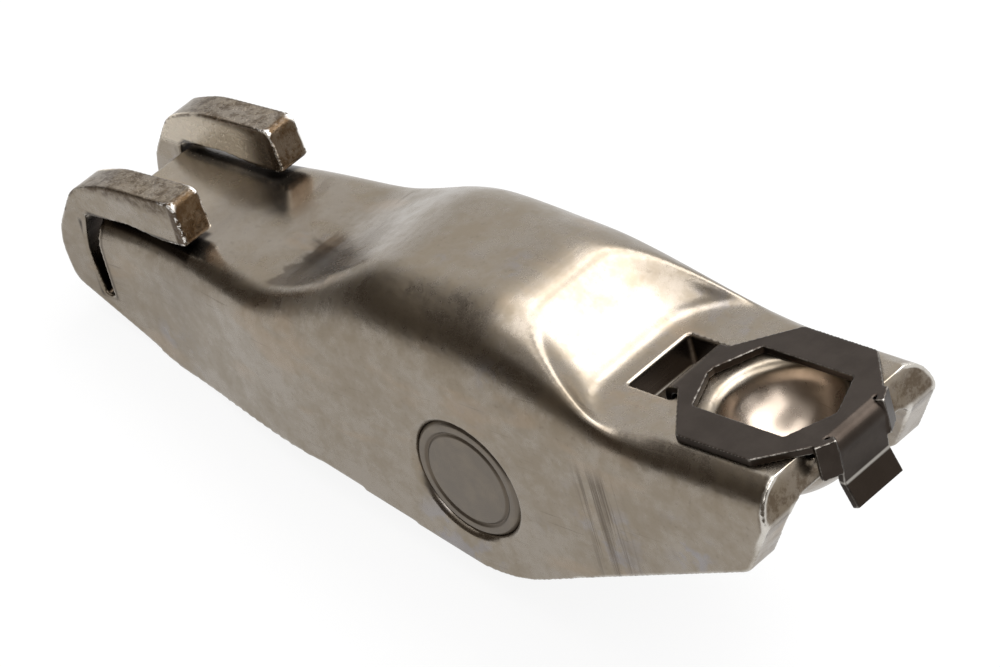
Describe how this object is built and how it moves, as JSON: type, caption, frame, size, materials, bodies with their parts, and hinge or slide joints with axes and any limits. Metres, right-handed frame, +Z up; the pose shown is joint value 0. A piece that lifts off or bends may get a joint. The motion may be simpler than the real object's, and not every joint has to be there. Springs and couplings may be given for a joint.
{
  "type": "rocker arm",
  "caption": "Roller finger follower: pressed steel lever with hooked valve guides, needle-bearing cam roller on a staked axle, ball socket and spring retaining clip.",
  "frame": {"origin": "centre of the bounding box's base, on the level surface that the roller and the valve end of the walls rest on", "axes": "+X along the lever towards the ball socket, +Y across it along the roller axle, +Z up"},
  "size_m": [0.0604, 0.015, 0.0223],
  "materials": {
    "pressed_steel": "satin pressed steel with a thin uneven oil film",
    "axle_steel": "smooth matt end faces",
    "roller_steel": "hardened and ground",
    "needle_steel": "ground and polished",
    "spring_steel": "dark tempered spring sheet with bright rubbed edges"
  },
  "bodies": {
    "lever": {"arm_body": "pressed_steel", "axle_pin": "axle_steel", "retaining_clip": "spring_steel"},
    "roller": {"roller": "roller_steel"},
    "needle_set": {"needle_01": "needle_steel", "needle_02": "needle_steel", "needle_03": "needle_steel", "needle_04": "needle_steel", "needle_05": "needle_steel", "needle_06": "needle_steel", "needle_07": "needle_steel", "needle_08": "needle_steel", "needle_09": "needle_steel", "needle_10": "needle_steel", "needle_11": "needle_steel", "needle_12": "needle_steel", "needle_13": "needle_steel", "needle_14": "needle_steel", "needle_15": "needle_steel", "needle_16": "needle_steel", "needle_17": "needle_steel", "needle_18": "needle_steel"}
  },
  "joints": [
    {"name": "roller_spin", "type": "hinge", "parent": "lever", "child": "roller", "pos_m": [0.00524, 0, 0.0082], "axis": [0, 1, 0], "continuous": true},
    {"name": "needle_orbit", "type": "hinge", "parent": "lever", "child": "needle_set", "pos_m": [0.00524, 0, 0.0082], "axis": [0, 1, 0], "continuous": true}
  ],
  "couplings": [
    {"joint": "needle_orbit", "follows": "roller_spin", "ratio": 0.58463}
  ]
}
